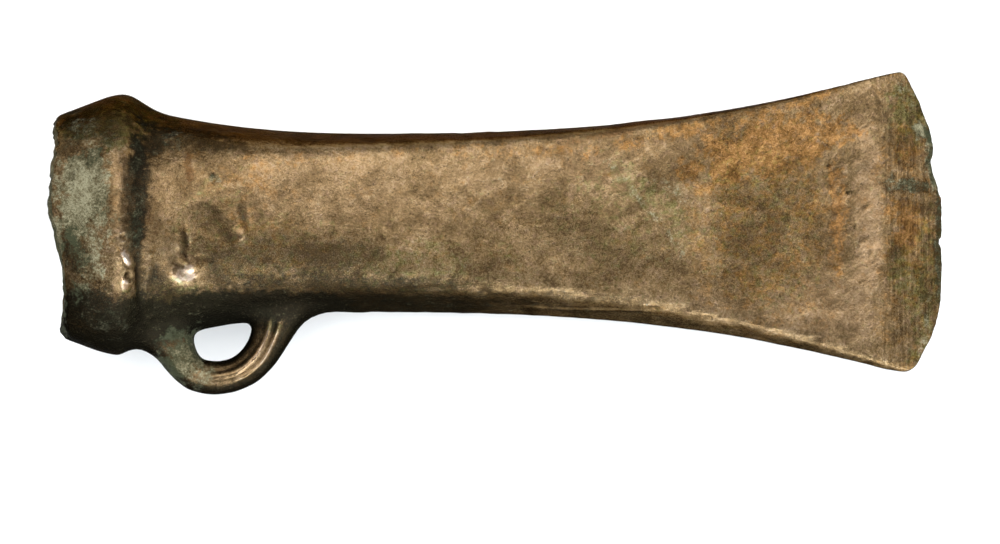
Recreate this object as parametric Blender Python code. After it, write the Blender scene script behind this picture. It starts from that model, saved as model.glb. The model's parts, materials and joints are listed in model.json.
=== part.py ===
"""A looped, socketed axe head of cast bronze, of the later Bronze Age, lying on one broad face.

It is one casting: a wedge-shaped body with a widening blade, a moulding round the mouth, a deep
socket for the haft, and one side loop for a lashing.

The head is first modelled on its own axes, in metres: X runs from the mouth at 0 to the cutting edge,
Y across the blade and away from the loop, Z through the thickness. It is then laid down, with +Z up.
"""

import math

import bmesh
import bpy
from mathutils import Matrix, Vector
from mathutils.geometry import interpolate_bezier

MM = 0.001
TOUCH = 0.001 * MM

# Along the head, as distances from the mouth.
RIDGE_AT = 10.6 * MM  # crest of the mouth moulding
NECK_AT = 15.5 * MM  # where the moulding ends and the body begins
WAIST_AT = 47 * MM  # narrowest place
SOCKET_DEPTH = 78 * MM
BLADE_AT = 112 * MM  # from here on the cross-sections bow, to follow the cutting edge
SHOULDER_AT = 124 * MM  # start of the sharpened bevel
CORNER_AT = 127 * MM  # where the blade is widest
LENGTH = 132.6 * MM  # middle of the cutting edge

# Half of the head's width, across the broad faces. The ridge is given as if it were sharp.
MOUTH_HALF_WIDTH = 16.7 * MM
RIDGE_HALF_WIDTH = 20.15 * MM
NECK_HALF_WIDTH = 16.4 * MM
WAIST_HALF_WIDTH = 13.5 * MM
CORNER_HALF_WIDTH = 22.85 * MM
MOUTH_SHIFT = -0.55 * MM  # the mouth sits a little towards the loop
BLADE_SHIFT = 0.3 * MM  # and the blade a little away from it

# Half of the head's thickness, between the broad faces.
MOUTH_HALF_DEPTH = 14.4 * MM
RIDGE_HALF_DEPTH = 17.6 * MM
NECK_HALF_DEPTH = 14.0 * MM
SHOULDER_HALF_DEPTH = 1.5 * MM
RIDGE_ROUNDING = 1.3 * MM
NECK_ROUNDING = 0.35 * MM

# How late each of these curves sets in: 1 is a straight line.
NECK_CURVE = 2.2
BLADE_CURVE = 2.5
BOW_CURVE = 1.5
BEVEL_CURVE = 0.85
SOCKET_CURVE = 1.25
BEND_CURVE = 3

# How square a cross-section is (2 is an ellipse) and how far its narrow sides slope out to the seam.
MOUTH_SQUARENESS = 2.7
BLADE_SQUARENESS = 8.0
MOUTH_DRAFT = 0.08
BODY_DRAFT = 0.3

# Half sizes of the socket at the mouth and at its floor.
SOCKET_MOUTH = (14.4 * MM, 12.4 * MM)
SOCKET_FLOOR = (8.0 * MM, 3.0 * MM)
SOCKET_SQUARENESS = 3.2
LIP_ROUNDING = 0.7 * MM

# The cutting edge falls back towards its corners: (how far, how late), and each corner's rounding.
EDGE_DROP_FAR_SIDE = (5.0 * MM, 2.3)
EDGE_DROP_LOOP_SIDE = (3.6 * MM, 5.0)
CORNER_ROUNDING_FAR_SIDE = 2.4 * MM
CORNER_ROUNDING_LOOP_SIDE = 3.4 * MM

# Worn places: how far the rim and the edge are broken back, and where. Angles run round the head
# from the side away from the loop, over the upper face.
RIM_CHIPS = (
    {"angle": 46, "spread": 16, "depth": 0.5 * MM},
    {"angle": 126, "spread": 24, "depth": 1.9 * MM},
    {"angle": 166, "spread": 14, "depth": 1.3 * MM},
)
RIM_CHIP_REACH = 6 * MM
EDGE_CHIPS = (
    {"across": 8.2 * MM, "spread": 2.6 * MM, "depth": 0.8 * MM},
    {"across": -1.9 * MM, "spread": 0.8 * MM, "depth": 0.5 * MM},
)
EDGE_CHIP_REACH = 5 * MM

# The side loop: its roots on the body, the low pad between them, its centre line and its half sizes,
# in its own plane and across it.
LOOP_ROOTS = ((12.4 * MM, 20.2 * MM), (29.4 * MM, 37.0 * MM))
LOOP_ROOT_STEPS = 4
LOOP_ROOT_COLUMNS = 3  # on each side of the seam
LOOP_PAD = {"at": 23 * MM, "spread": 9 * MM, "height": 0.6 * MM, "narrowness": 6}
LOOP_START = (Vector((16.9, -16.0, 0)) * MM, Vector((18.0, -21.6, 0)) * MM)
LOOP_FOOT = (Vector((20.4, -23.2, 0)) * MM, Vector((24.0, -23.2, 0)) * MM, Vector((28.5, -23.2, 0)) * MM)
LOOP_END = (Vector((31.6, -19.6, 0)) * MM, Vector((33.5, -13.8, 0)) * MM)
LOOP_HALF_THICKNESS = 2.5 * MM
LOOP_HALF_BREADTH = 3.5 * MM
LOOP_ROOT_GROWTH = (1.5, 1.25)
LOOP_ROOT_SHORTNESS = 4
LOOP_STEPS = 7  # rings on each half of the loop
FILLET_REACH = 2  # rows of points round each root that are smoothed together
FILLET_PASSES = 4

# The mesh: columns of faces round the head, and rings of them along each stretch.
COLUMNS = 48
SOCKET_RINGS = 15
CHIPPED_RINGS = 3
MOULDING_RINGS = 9
LOOP_HOLE_RINGS = 4
BODY_RINGS = 24
BLADE_RINGS = 6
BEVEL_RINGS = 3
CORNER_RINGS = 6

MOULDING_FLAT_DEPTH = 0.15 * MM  # worn flats where the head rests
BLADE_FLAT_DEPTH = 0.03 * MM


def spread(start, end, steps):
    """Equal steps from start to end, with start left out."""
    return [start + (end - start) * (step + 1) / steps for step in range(steps)]


def smooth_min(a, b, rounding):
    return (a + b - math.hypot(a - b, rounding)) / 2


def smooth_max(a, b, rounding):
    return (a + b + math.hypot(a - b, rounding)) / 2


def smooth_step(share):
    share = min(max(share, 0), 1)
    return share * share * (3 - 2 * share)


def fading(along, reach):
    """1 at the mouth, falling evenly to 0 at a distance from it."""
    return max(1 - along / reach, 0)


def bump(distance, width):
    """A smooth bump of height 1, which fades to nothing at three widths."""
    return math.exp(-((distance / width) ** 2)) if abs(distance) < 3 * width else 0


def moulded(along, mouth, ridge, neck, body):
    """The mouth moulding's straight bevel and steep back, run smoothly into the body."""
    bevel = mouth + (ridge - mouth) * along / RIDGE_AT
    back = ridge - (ridge - neck) * (along - RIDGE_AT) / (NECK_AT - RIDGE_AT)
    return smooth_max(smooth_min(bevel, back, RIDGE_ROUNDING), body, NECK_ROUNDING)


def half_width(along):
    """Half of the head's width, with a waist and a blade that widens from it."""
    if along < WAIST_AT:
        towards_neck = min((WAIST_AT - along) / (WAIST_AT - NECK_AT), 1)
        body = WAIST_HALF_WIDTH + (NECK_HALF_WIDTH - WAIST_HALF_WIDTH) * towards_neck**NECK_CURVE
    else:
        towards_corner = (along - WAIST_AT) / (CORNER_AT - WAIST_AT)
        body = WAIST_HALF_WIDTH + (CORNER_HALF_WIDTH - WAIST_HALF_WIDTH) * towards_corner**BLADE_CURVE
    return moulded(along, MOUTH_HALF_WIDTH, RIDGE_HALF_WIDTH, NECK_HALF_WIDTH, body)


def half_depth(along):
    """Half of the head's thickness: a wedge from the neck to the bevel's shoulder."""
    towards_shoulder = max((along - NECK_AT) / (SHOULDER_AT - NECK_AT), 0)
    body = NECK_HALF_DEPTH + (SHOULDER_HALF_DEPTH - NECK_HALF_DEPTH) * towards_shoulder
    return moulded(along, MOUTH_HALF_DEPTH, RIDGE_HALF_DEPTH, NECK_HALF_DEPTH, body)


def section_point(angle, width, depth, squareness, draft):
    """(Y, Z) on a rounded four-sided section whose narrow sides slope out to a seam."""
    across, through = math.cos(angle), math.sin(angle)
    side = abs(across) + abs(through) * draft * depth / width
    reach = (abs(through) ** squareness + side**squareness) ** (-1 / squareness)
    return width * across * reach, depth * through * reach


def edge_drop(across):
    """How far the cutting edge lies behind its middle, at a share of the blade's half width."""
    drop, power = EDGE_DROP_FAR_SIDE if across > 0 else EDGE_DROP_LOOP_SIDE
    return drop * abs(across) ** power


def corner_cut(to_edge, rounding):
    """How far the blade's side is cut in by the rounding of its corner."""
    if to_edge >= rounding:
        return 0
    return rounding - math.sqrt(rounding**2 - (rounding - to_edge) ** 2)


def rim_chip(angle):
    """How far the rim is broken back at an angle round the head."""
    degrees = math.degrees(angle) % 360
    return sum(chip["depth"] * bump(degrees - chip["angle"], chip["spread"]) for chip in RIM_CHIPS)


def edge_chip(across):
    return sum(chip["depth"] * bump(across - chip["across"], chip["spread"]) for chip in EDGE_CHIPS)


def sideways(along):
    """How far the middle of a cross-section lies away from the loop."""
    return MOUTH_SHIFT * fading(along, NECK_AT) + BLADE_SHIFT * (along / LENGTH) ** BEND_CURVE


def outer_point(angle, along):
    """A point on the outside of the head, for a cross-section at a distance from the mouth."""
    across = math.cos(angle)
    bowed = max((along - BLADE_AT) / (LENGTH - BLADE_AT), 0) ** BOW_CURVE
    to_edge = LENGTH - along
    width = half_width(along - bowed * edge_drop(math.copysign(1, across)))
    width -= corner_cut(to_edge, CORNER_ROUNDING_FAR_SIDE if across > 0 else CORNER_ROUNDING_LOOP_SIDE)
    depth = half_depth(along)
    if along > SHOULDER_AT:
        depth = SHOULDER_HALF_DEPTH * (to_edge / (LENGTH - SHOULDER_AT)) ** BEVEL_CURVE
    roundness = smooth_step(along / BLADE_AT)
    squareness = MOUTH_SQUARENESS + (BLADE_SQUARENESS - MOUTH_SQUARENESS) * roundness
    draft = MOUTH_DRAFT + (BODY_DRAFT - MOUTH_DRAFT) * smooth_step(along / NECK_AT)
    y, z = section_point(angle, width, depth, squareness, draft)
    x = along - bowed * edge_drop(y / width)
    x -= edge_chip(y) * fading(to_edge, EDGE_CHIP_REACH)
    x += rim_chip(angle) * fading(along, RIM_CHIP_REACH)
    if along > NECK_AT:
        on_seam = max(-across, 0) ** LOOP_PAD["narrowness"]
        y -= LOOP_PAD["height"] * bump(along - LOOP_PAD["at"], LOOP_PAD["spread"]) * on_seam
    return Vector((x, y + sideways(along), z))


def lip_point(angle, inwards):
    """A point on the rim, moved inwards from the outside of the mouth."""
    outer = outer_point(angle, 0)
    return outer + (socket_point(angle, 0) - outer).normalized() * inwards


def socket_point(angle, along):
    """A point on the wall of the socket."""
    share = along / SOCKET_DEPTH
    width = SOCKET_MOUTH[0] + (SOCKET_FLOOR[0] - SOCKET_MOUTH[0]) * share
    depth = SOCKET_MOUTH[1] + (SOCKET_FLOOR[1] - SOCKET_MOUTH[1]) * share**SOCKET_CURVE
    y, z = section_point(angle, width, depth, SOCKET_SQUARENESS, 0)
    x = along + rim_chip(angle) * fading(along, RIM_CHIP_REACH)
    return Vector((x, y + sideways(along), z))


def rings():
    """(surface, place on it) of every ring, from the socket's floor, out of the mouth and along the
    outside to the cutting edge."""
    inside = spread(SOCKET_DEPTH, RIM_CHIP_REACH, SOCKET_RINGS)
    inside += spread(RIM_CHIP_REACH, LIP_ROUNDING, CHIPPED_RINGS)
    wall = MOUTH_HALF_WIDTH - SOCKET_MOUTH[0]
    (first_start, first_end), (last_start, last_end) = LOOP_ROOTS
    corner_at = LENGTH - max(CORNER_ROUNDING_FAR_SIDE, CORNER_ROUNDING_LOOP_SIDE)
    outside = (
        spread(0, LIP_ROUNDING, 1)
        + spread(LIP_ROUNDING, first_start, MOULDING_RINGS)
        + spread(first_start, first_end, LOOP_ROOT_STEPS)
        + spread(first_end, last_start, LOOP_HOLE_RINGS)
        + spread(last_start, last_end, LOOP_ROOT_STEPS)
        + spread(last_end, BLADE_AT, BODY_RINGS)
        + spread(BLADE_AT, SHOULDER_AT, BLADE_RINGS)
        + spread(SHOULDER_AT, corner_at, BEVEL_RINGS)
        + spread(corner_at, LENGTH, CORNER_RINGS)
    )
    return (
        [(socket_point, along) for along in inside]
        + [(lip_point, inwards) for inwards in (wall - LIP_ROUNDING, LIP_ROUNDING)]
        + [(outer_point, along) for along in outside]
    )


def extruded(bm, ring):
    """A copy of a ring of edges, joined to it by new faces."""
    made = bmesh.ops.extrude_edge_only(bm, edges=ring)["geom"]
    return [edge for edge in made if isinstance(edge, bmesh.types.BMEdge) and len(edge.link_faces) == 1]


def verts_of(ring):
    return {vert for edge in ring for vert in edge.verts}


def make_body(bm):
    """The socket, the lip and the outside as one skin, extruded ring by ring and closed at the edge."""
    angle_of = bm.verts.layers.float.new("angle")
    outside_at = bm.verts.layers.float.new("outside_at")
    floor = bmesh.ops.create_circle(bm, cap_ends=True, radius=1, segments=COLUMNS)["verts"]
    for number, vert in enumerate(floor):
        vert[angle_of] = 2 * math.pi * number / COLUMNS
        vert.co = socket_point(vert[angle_of], SOCKET_DEPTH)
    ring = bm.edges[:]
    for surface, along in rings():
        ring = extruded(bm, ring)
        for vert in verts_of(ring):
            vert.co = surface(vert[angle_of], along)
            vert[outside_at] = along if surface is outer_point else 0
    by_column = {round(vert[angle_of] / (2 * math.pi) * COLUMNS): vert for vert in verts_of(ring)}
    lower_to_upper = {by_column[COLUMNS - n]: by_column[n] for n in range(1, COLUMNS // 2)}
    bmesh.ops.weld_verts(bm, targetmap=lower_to_upper)


def cut_root(bm, start, end):
    """Opens the body's side at one root of the loop, and returns the opening's edges."""
    angle_of = bm.verts.layers.float["angle"]
    outside_at = bm.verts.layers.float["outside_at"]
    half_angle = 2 * math.pi * (LOOP_ROOT_COLUMNS + 0.5) / COLUMNS
    near = {
        vert
        for vert in bm.verts
        if start - TOUCH < vert[outside_at] < end + TOUCH and abs(vert[angle_of] - math.pi) < half_angle
    }
    patch = {face for face in bm.faces if near.issuperset(face.verts)}
    rim = [edge for face in patch for edge in face.edges if not patch.issuperset(edge.link_faces)]
    bmesh.ops.delete(bm, geom=list(patch), context="FACES")
    return rim


def loop_stations():
    """(centre, direction towards the hole, growth) along the loop, from one root to the other."""
    first = interpolate_bezier(*LOOP_START, *LOOP_FOOT[:2], LOOP_STEPS + 1)
    second = interpolate_bezier(*LOOP_FOOT[1:], *LOOP_END, LOOP_STEPS + 1)
    centres = first[:-1] + second
    stations = []
    for number in range(1, len(centres) - 1):
        ahead = (centres[number + 1] - centres[number - 1]).normalized()
        to_root = abs(2 * number / (len(centres) - 1) - 1)
        stations.append((centres[number], Vector((-ahead.y, ahead.x, 0)), to_root**LOOP_ROOT_SHORTNESS))
    return stations


def make_loop(bm):
    """The side loop, extruded out of the body at one root, round the hole and into the other root."""
    around = bm.verts.layers.float.new("around")
    first_root = cut_root(bm, *LOOP_ROOTS[0])
    other_root = cut_root(bm, *LOOP_ROOTS[1])
    middle = sum(LOOP_ROOTS[0]) / 2
    length = (LOOP_ROOTS[0][1] - LOOP_ROOTS[0][0]) / 2
    height = max(vert.co.z for vert in verts_of(first_root))
    for vert in verts_of(first_root):
        vert[around] = math.atan2(vert.co.z / height, (vert.co.x - middle) / length)
    ring = first_root
    for centre, inwards, growth in loop_stations():
        ring = extruded(bm, ring)
        thickness = LOOP_HALF_THICKNESS * (1 + (LOOP_ROOT_GROWTH[0] - 1) * growth)
        breadth = LOOP_HALF_BREADTH * (1 + (LOOP_ROOT_GROWTH[1] - 1) * growth)
        for vert in verts_of(ring):
            vert.co = centre + inwards * thickness * math.cos(vert[around])
            vert.co.z = breadth * math.sin(vert[around])
    bmesh.ops.bridge_loops(bm, edges=ring + other_root)
    round_roots(bm, verts_of(first_root + other_root))


def round_roots(bm, verts):
    """Smooths the points at and near the loop's roots into fillets."""
    for _ in range(FILLET_REACH):
        verts = {edge.other_vert(vert) for vert in verts for edge in vert.link_edges} | verts
    for _ in range(FILLET_PASSES):
        bmesh.ops.smooth_vert(
            bm, verts=list(verts), factor=0.5, use_axis_x=True, use_axis_y=True, use_axis_z=True
        )


def lay_down(bm):
    """Turns the head so that it rests on its moulding and its blade, and wears a flat at each."""
    moulding = min((vert.co for vert in bm.verts), key=lambda point: point.z).copy()
    moulding.z += MOULDING_FLAT_DEPTH - BLADE_FLAT_DEPTH
    blade = [vert.co - moulding for vert in bm.verts if vert.co.x > WAIST_AT]
    tilt = min(math.atan2(point.z, point.x) for point in blade)
    bmesh.ops.rotate(bm, verts=bm.verts, cent=(0, 0, 0), matrix=Matrix.Rotation(tilt, 3, "Y"))
    low = min(vert.co.z for vert in bm.verts) + MOULDING_FLAT_DEPTH
    xs = [vert.co.x for vert in bm.verts]
    ys = [vert.co.y for vert in bm.verts]
    middle = Vector(((min(xs) + max(xs)) / 2, (min(ys) + max(ys)) / 2, low))
    bmesh.ops.translate(bm, verts=bm.verts, vec=-middle)
    everything = bm.verts[:] + bm.edges[:] + bm.faces[:]
    worn = bmesh.ops.bisect_plane(
        bm, geom=everything, dist=TOUCH, plane_co=(0, 0, 0), plane_no=(0, 0, 1), clear_inner=True
    )["geom_cut"]
    bmesh.ops.edgeloop_fill(bm, edges=[part for part in worn if isinstance(part, bmesh.types.BMEdge)])
    for vert in bm.verts:
        if vert.co.z < TOUCH:
            vert.co.z = 0


def bronze():
    """Brown patinated bronze."""
    material = bpy.data.materials.new("bronze")
    material.use_nodes = True
    shader = material.node_tree.nodes["Principled BSDF"]
    shader.inputs["Base Color"].default_value = (0.262, 0.178, 0.089, 1)
    shader.inputs["Metallic"].default_value = 0.8
    shader.inputs["Roughness"].default_value = 0.42
    return material


def make_axe_head():
    bm = bmesh.new()
    make_body(bm)
    make_loop(bm)
    lay_down(bm)
    bmesh.ops.recalc_face_normals(bm, faces=bm.faces)
    mesh = bpy.data.meshes.new("axe_head")
    bm.to_mesh(mesh)
    bm.free()
    mesh.materials.append(bronze())
    mesh.shade_smooth()
    mesh.set_sharp_from_angle(angle=math.radians(40))
    head = bpy.data.objects.new("axe_head", mesh)
    collection = bpy.data.collections.new("socketed_axe_head")
    bpy.context.scene.collection.children.link(collection)
    collection.objects.link(head)


for old in list(bpy.data.objects):
    bpy.data.objects.remove(old)
make_axe_head()
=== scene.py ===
"""A looped, socketed axe head of cast bronze, of the later Bronze Age, lying on one broad face.

The head is one casting. It is shaped on its own axes, in metres: X runs from the mouth at 0 to the
cutting edge, Y across the blade and away from the loop, Z through the thickness. It is then laid down
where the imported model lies, with +Z up.
"""

import json
import math

import bmesh
import bpy
from mathutils import Matrix, Vector, noise
from mathutils.geometry import interpolate_bezier
from mathutils.kdtree import KDTree


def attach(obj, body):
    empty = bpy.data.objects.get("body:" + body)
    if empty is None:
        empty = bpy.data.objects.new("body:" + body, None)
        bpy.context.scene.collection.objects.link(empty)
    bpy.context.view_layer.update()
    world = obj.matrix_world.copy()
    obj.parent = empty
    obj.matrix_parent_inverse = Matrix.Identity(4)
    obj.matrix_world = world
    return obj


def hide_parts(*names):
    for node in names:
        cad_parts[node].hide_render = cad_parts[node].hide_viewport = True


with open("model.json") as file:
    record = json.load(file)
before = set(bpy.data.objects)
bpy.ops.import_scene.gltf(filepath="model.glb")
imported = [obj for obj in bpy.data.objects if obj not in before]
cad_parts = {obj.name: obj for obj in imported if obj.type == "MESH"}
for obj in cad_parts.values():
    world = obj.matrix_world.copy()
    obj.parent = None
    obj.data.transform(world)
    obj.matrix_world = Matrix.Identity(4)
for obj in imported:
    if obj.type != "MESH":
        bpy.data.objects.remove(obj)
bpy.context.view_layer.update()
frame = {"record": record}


# ---------------------------------------------------------------------------------------------------
# The axe head: one piece of bronze, cast in a two-part mould round a clay core. A moulding strengthens
# its mouth, the deep socket takes the haft, a lashing passes through the side loop, and the blade was
# hammered out to a curved edge. Burial left it brown, with green in the hollows and along the edge.

MM = 0.001
TOUCH = 0.001 * MM

# Along the head, as distances from the mouth.
RIDGE_AT = 10.6 * MM  # crest of the mouth moulding
NECK_AT = 15.5 * MM
WAIST_AT = 47 * MM
SOCKET_DEPTH = 78 * MM
BLADE_AT = 112 * MM  # from here on the cross-sections bow, to follow the cutting edge
SHOULDER_AT = 124 * MM  # start of the sharpened bevel
CORNER_AT = 124.6 * MM
LENGTH = 132.65 * MM

# Half of the head's width and thickness. The ridge is given as if it were sharp.
MOUTH_HALF_WIDTH = 16.7 * MM
RIDGE_HALF_WIDTH = 20.8 * MM
NECK_HALF_WIDTH = 16.7 * MM
WAIST_HALF_WIDTH = 13.6 * MM
CORNER_HALF_WIDTH = 22.4 * MM
BLADE_ROUNDING = 0.9 * MM
MOUTH_SHIFT = -0.55 * MM  # the mouth sits a little towards the loop
BLADE_SHIFT = 0.3 * MM  # and the blade a little away from it
MOUTH_HALF_DEPTH = 14.4 * MM
RIDGE_HALF_DEPTH = 18.0 * MM
NECK_HALF_DEPTH = 14.0 * MM
SHOULDER_HALF_DEPTH = 1.5 * MM
EDGE_HALF_DEPTH = 0.09 * MM  # the worn edge is a little blunt
RIDGE_ROUNDING = 2.1 * MM
NECK_ROUNDING = 0.35 * MM

# How late each of these curves sets in: 1 is a straight line.
NECK_CURVE = 2.2
BLADE_CURVE = 2.55
BOW_CURVE = 1.5
BEVEL_CURVE = 0.85
SOCKET_CURVE = 1.25
BEND_CURVE = 3

# How square a cross-section is (2 is an ellipse) and how far its narrow sides slope out to the seam.
MOUTH_SQUARENESS = 2.7
BLADE_SQUARENESS = 13.0
ROUND_UNTIL = 13 * MM
FAR_SIDE_SQUARE_FROM = 48 * MM  # fully square from here on
LOOP_SIDE_SQUARE_FROM = 88 * MM
MOUTH_DRAFT = 0.08
FAR_SIDE_DRAFT = (0.25, 0.06)  # at the mouth and at the edge
LOOP_SIDE_DRAFT = (0.3, 0.66)
FACE_CROWN = 0.09  # how much lower the upper face lies at its long borders

SOCKET_MOUTH = (14.4 * MM, 12.4 * MM)  # half width and half thickness
SOCKET_FLOOR = (8.0 * MM, 3.0 * MM)
SOCKET_SQUARENESS = 3.2
LIP_ROUNDING = 0.7 * MM

# How far the edge is drawn back at its corners, and how late that sets in.
EDGE_DROP_FAR_SIDE = (4.7 * MM, 2.5)
EDGE_DROP_LOOP_SIDE = (3.0 * MM, 5.6)
CORNER_ROUNDING_FAR_SIDE = 2.7 * MM
CORNER_ROUNDING_LOOP_SIDE = 3.6 * MM

# Worn places: how far the rim and the edge are broken back, and where. Angles are in degrees round
# the head, from the side away from the loop.
RIM_CHIPS = (
    {"angle": 46, "spread": 16, "depth": 0.5 * MM},
    {"angle": 77, "spread": 8, "depth": -0.35 * MM},
    {"angle": 129, "spread": 30, "depth": 2.2 * MM},
    {"angle": 170, "spread": 16, "depth": 1.5 * MM},
)
RIM_CHIP_REACH = 6 * MM
RIM_RAGGED = 0.14 * MM
RIM_RAGGED_BY = ((7, 1, 0.3), (20, 0.35, 0.7))  # how close together, what share of the depth, and a seed
EDGE_CHIPS = (
    {"across": 8.2 * MM, "spread": 2.6 * MM, "depth": 1.0 * MM, "reach": 5 * MM},
    {"across": 9.3 * MM, "spread": 0.5 * MM, "depth": 0.25 * MM, "reach": 1.5 * MM},
    {"across": 4.6 * MM, "spread": 0.5 * MM, "depth": 0.2 * MM, "reach": 1.5 * MM},
    {"across": -2.7 * MM, "spread": 0.55 * MM, "depth": 0.5 * MM, "reach": 1.5 * MM},
    {"across": -19.0 * MM, "spread": 1.0 * MM, "depth": 0.2 * MM, "reach": 2 * MM},
)
EDGE_RAGGED = 0.07 * MM
EDGE_RAGGED_CLOSENESS = 1400
EDGE_CUT_FINE = 1.3 * MM  # this much of the edge is meshed finely on both sides

# The side loop: its roots on the body, its centre line and its half sizes, in its own plane and across.
LOOP_ROOTS = ((12.4 * MM, 20.2 * MM), (29.2 * MM, 36.6 * MM))
LOOP_ROOT_STEPS = 4
LOOP_ROOT_SPAN = math.radians(24)  # on each side of the seam
LOOP_PAD = {"at": 23 * MM, "spread": 9 * MM, "height": 1.1 * MM, "narrowness": 5}
LOOP_START = (Vector((16.9, -16.0, 0)) * MM, Vector((18.3, -21.4, 0)) * MM)
LOOP_FOOT = (Vector((20.4, -23.2, 0)) * MM, Vector((24.0, -23.2, 0)) * MM, Vector((28.5, -23.2, 0)) * MM)
LOOP_END = (Vector((31.7, -19.7, 0)) * MM, Vector((33.8, -13.8, 0)) * MM)
LOOP_HALF_THICKNESS = 2.6 * MM
LOOP_HALF_BREADTH = 3.5 * MM
LOOP_CREST_LEAN = 0.02  # the crest of the loop lies nearer its hole
LOOP_ROOT_GROWTH = (1.5, 1.25)  # how much thicker and broader it is at its roots
LOOP_ROOT_SHORTNESS = 4  # how near the roots that growth stays
LOOP_STEPS = 7
FILLET_REACH = 2  # rows of points round each root that are smoothed together
FILLET_PASSES = 4

# The cage: columns of faces round the head, most of them over the upper broad face, and its rings.
UPPER_FACE_COLUMNS = 23
UPPER_SIDE_COLUMNS = 7
LOWER_FACE_COLUMNS = 10
LOWER_SIDE_COLUMNS = 5
SOCKET_RINGS = 9
LIP_RINGS = 3
MOULDING_RINGS = 12
LOOP_HOLE_RINGS = 5
BODY_RINGS = 28
BLADE_RINGS = 8
BEVEL_RINGS = 5
CORNER_RINGS = 6
LAST_RING = 0.12 * MM  # close behind the edge, to keep it crisp
UPPER_FACE_CUTS = 2
SIDE_LEFT_COARSE = 0.4  # up to this share of the thickness, the narrow sides are not cut finer
# Places by the loop that are cut finer too: where along the head they start and end, and from how
# far out.
FINE_BY_LOOP = ((19 * MM, 40 * MM, 14.4 * MM), (15 * MM, 40 * MM, 17.5 * MM))
UPPER_FROM = -0.1 * MM  # the upper half of the outside, with the seam
UPPER_SMOOTHING = 2
SEAM_SLACK = 0.001  # radians


def spread(start, end, steps):
    """Equal steps from start to end, with start left out."""
    return [start + (end - start) * (step + 1) / steps for step in range(steps)]


def smooth_min(a, b, rounding):
    return (a + b - math.hypot(a - b, rounding)) / 2


def smooth_max(a, b, rounding):
    return (a + b + math.hypot(a - b, rounding)) / 2


def smooth_step(share):
    share = min(max(share, 0), 1)
    return share * share * (3 - 2 * share)


def rising(value, start, reach):
    """0 up to start, then smoothly up to 1 within a reach."""
    return smooth_step((value - start) / reach)


def falling(value, end, reach):
    """Smoothly down from 1 within a reach, to 0 from end on."""
    return smooth_step((end - value) / reach)


def fading(along, reach):
    """1 at the mouth, falling evenly to 0 at a distance from it."""
    return max(1 - along / reach, 0)


def bump(distance, width):
    """A smooth bump of height 1, which fades to nothing at three widths."""
    return math.exp(-((distance / width) ** 2)) if abs(distance) < 3 * width else 0


def moulded(along, mouth, ridge, neck, body):
    """The mouth moulding's straight bevel and steep back, run smoothly into the body."""
    bevel = mouth + (ridge - mouth) * along / RIDGE_AT
    back = ridge - (ridge - neck) * (along - RIDGE_AT) / (NECK_AT - RIDGE_AT)
    return smooth_max(smooth_min(bevel, back, RIDGE_ROUNDING), body, NECK_ROUNDING)


def half_width(along):
    """Half of the head's width, with a waist and a blade that widens from it."""
    if along < WAIST_AT:
        towards_neck = min((WAIST_AT - along) / (WAIST_AT - NECK_AT), 1)
        body = WAIST_HALF_WIDTH + (NECK_HALF_WIDTH - WAIST_HALF_WIDTH) * towards_neck**NECK_CURVE
    else:
        towards_corner = (along - WAIST_AT) / (CORNER_AT - WAIST_AT)
        body = WAIST_HALF_WIDTH + (CORNER_HALF_WIDTH - WAIST_HALF_WIDTH) * towards_corner**BLADE_CURVE
        body = smooth_min(body, CORNER_HALF_WIDTH + BLADE_ROUNDING / 2, BLADE_ROUNDING)
    return moulded(along, MOUTH_HALF_WIDTH, RIDGE_HALF_WIDTH, NECK_HALF_WIDTH, body)


def half_depth(along):
    """Half of the head's thickness: a wedge from the neck to the bevel's shoulder, then the bevel."""
    if along > SHOULDER_AT:
        to_edge = max((LENGTH - along) / (LENGTH - SHOULDER_AT), 0)
        return EDGE_HALF_DEPTH + (SHOULDER_HALF_DEPTH - EDGE_HALF_DEPTH) * to_edge**BEVEL_CURVE
    towards_shoulder = max((along - NECK_AT) / (SHOULDER_AT - NECK_AT), 0)
    body = NECK_HALF_DEPTH + (SHOULDER_HALF_DEPTH - NECK_HALF_DEPTH) * towards_shoulder
    return moulded(along, MOUTH_HALF_DEPTH, RIDGE_HALF_DEPTH, NECK_HALF_DEPTH, body)


def side_draft(drafts, along):
    """How far a narrow side slopes out to the seam, at a distance from the mouth."""
    return drafts[0] + (drafts[1] - drafts[0]) * along / LENGTH


def section_point(angle, width, depth, squareness, draft):
    """(Y, Z) on a rounded four-sided section whose narrow sides slope out to a seam."""
    across, through = math.cos(angle), math.sin(angle)
    side = abs(across) + abs(through) * draft * depth / width
    reach = (abs(through) ** squareness + side**squareness) ** (-1 / squareness)
    return width * across * reach, depth * through * reach


def edge_drop(across):
    """How far the cutting edge lies behind its middle, at a share of the blade's half width."""
    drop, power = EDGE_DROP_FAR_SIDE if across > 0 else EDGE_DROP_LOOP_SIDE
    return drop * abs(across) ** power


def corner_cut(to_edge, rounding):
    """How far the blade's side is cut in by the rounding of its corner."""
    if to_edge >= rounding:
        return 0
    return rounding - math.sqrt(rounding**2 - (rounding - to_edge) ** 2)


def rim_chip(angle):
    """How far the rim is broken back at an angle round the head, with a ragged break."""
    degrees = math.degrees(angle) % 360
    broken = sum(chip["depth"] * bump(degrees - chip["angle"], chip["spread"]) for chip in RIM_CHIPS)
    ragged = sum(
        share * noise.noise(Vector((math.cos(angle), math.sin(angle), seed)) * closeness)
        for closeness, share, seed in RIM_RAGGED_BY
    )
    return broken + RIM_RAGGED * ragged


def sideways(along):
    """How far the middle of a cross-section lies away from the loop."""
    return MOUTH_SHIFT * fading(along, NECK_AT) + BLADE_SHIFT * (along / LENGTH) ** BEND_CURVE


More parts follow.
